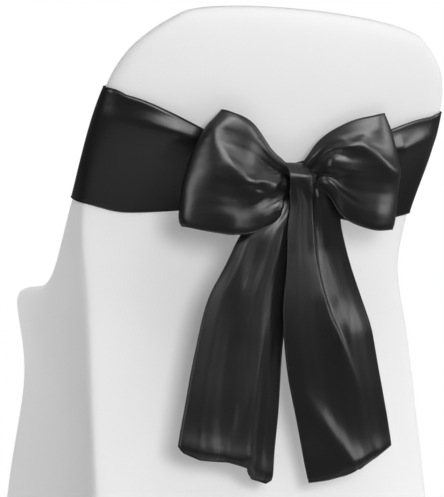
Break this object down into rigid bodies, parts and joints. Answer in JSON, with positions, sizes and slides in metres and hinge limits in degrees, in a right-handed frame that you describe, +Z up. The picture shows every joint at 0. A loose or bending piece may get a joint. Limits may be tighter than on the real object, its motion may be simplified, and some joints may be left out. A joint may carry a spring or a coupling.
{
  "type": "chair cover with sash",
  "caption": "White stretch cover for a folding chair with a wide black satin sash tied in a bow behind its back.",
  "frame": {"origin": "on the floor, under the middle of the cover's bounding box", "axes": "+Z up; -Y the way the covered chair faces, so the bow is on the +Y side; +X the left hand of someone who sits on the chair"},
  "size_m": [0.4966, 0.6253, 0.7857],
  "materials": {
    "stretch_cloth": "matte",
    "black_satin": "satin"
  },
  "bodies": {
    "root": {"back_panel": "stretch_cloth", "front_panel": "stretch_cloth", "side_panel_left": "stretch_cloth", "side_panel_right": "stretch_cloth", "foot_pocket_front_left": "stretch_cloth", "foot_pocket_front_right": "stretch_cloth", "foot_pocket_rear_left": "stretch_cloth", "foot_pocket_rear_right": "stretch_cloth", "sash": "black_satin"}
  },
  "joints": []
}
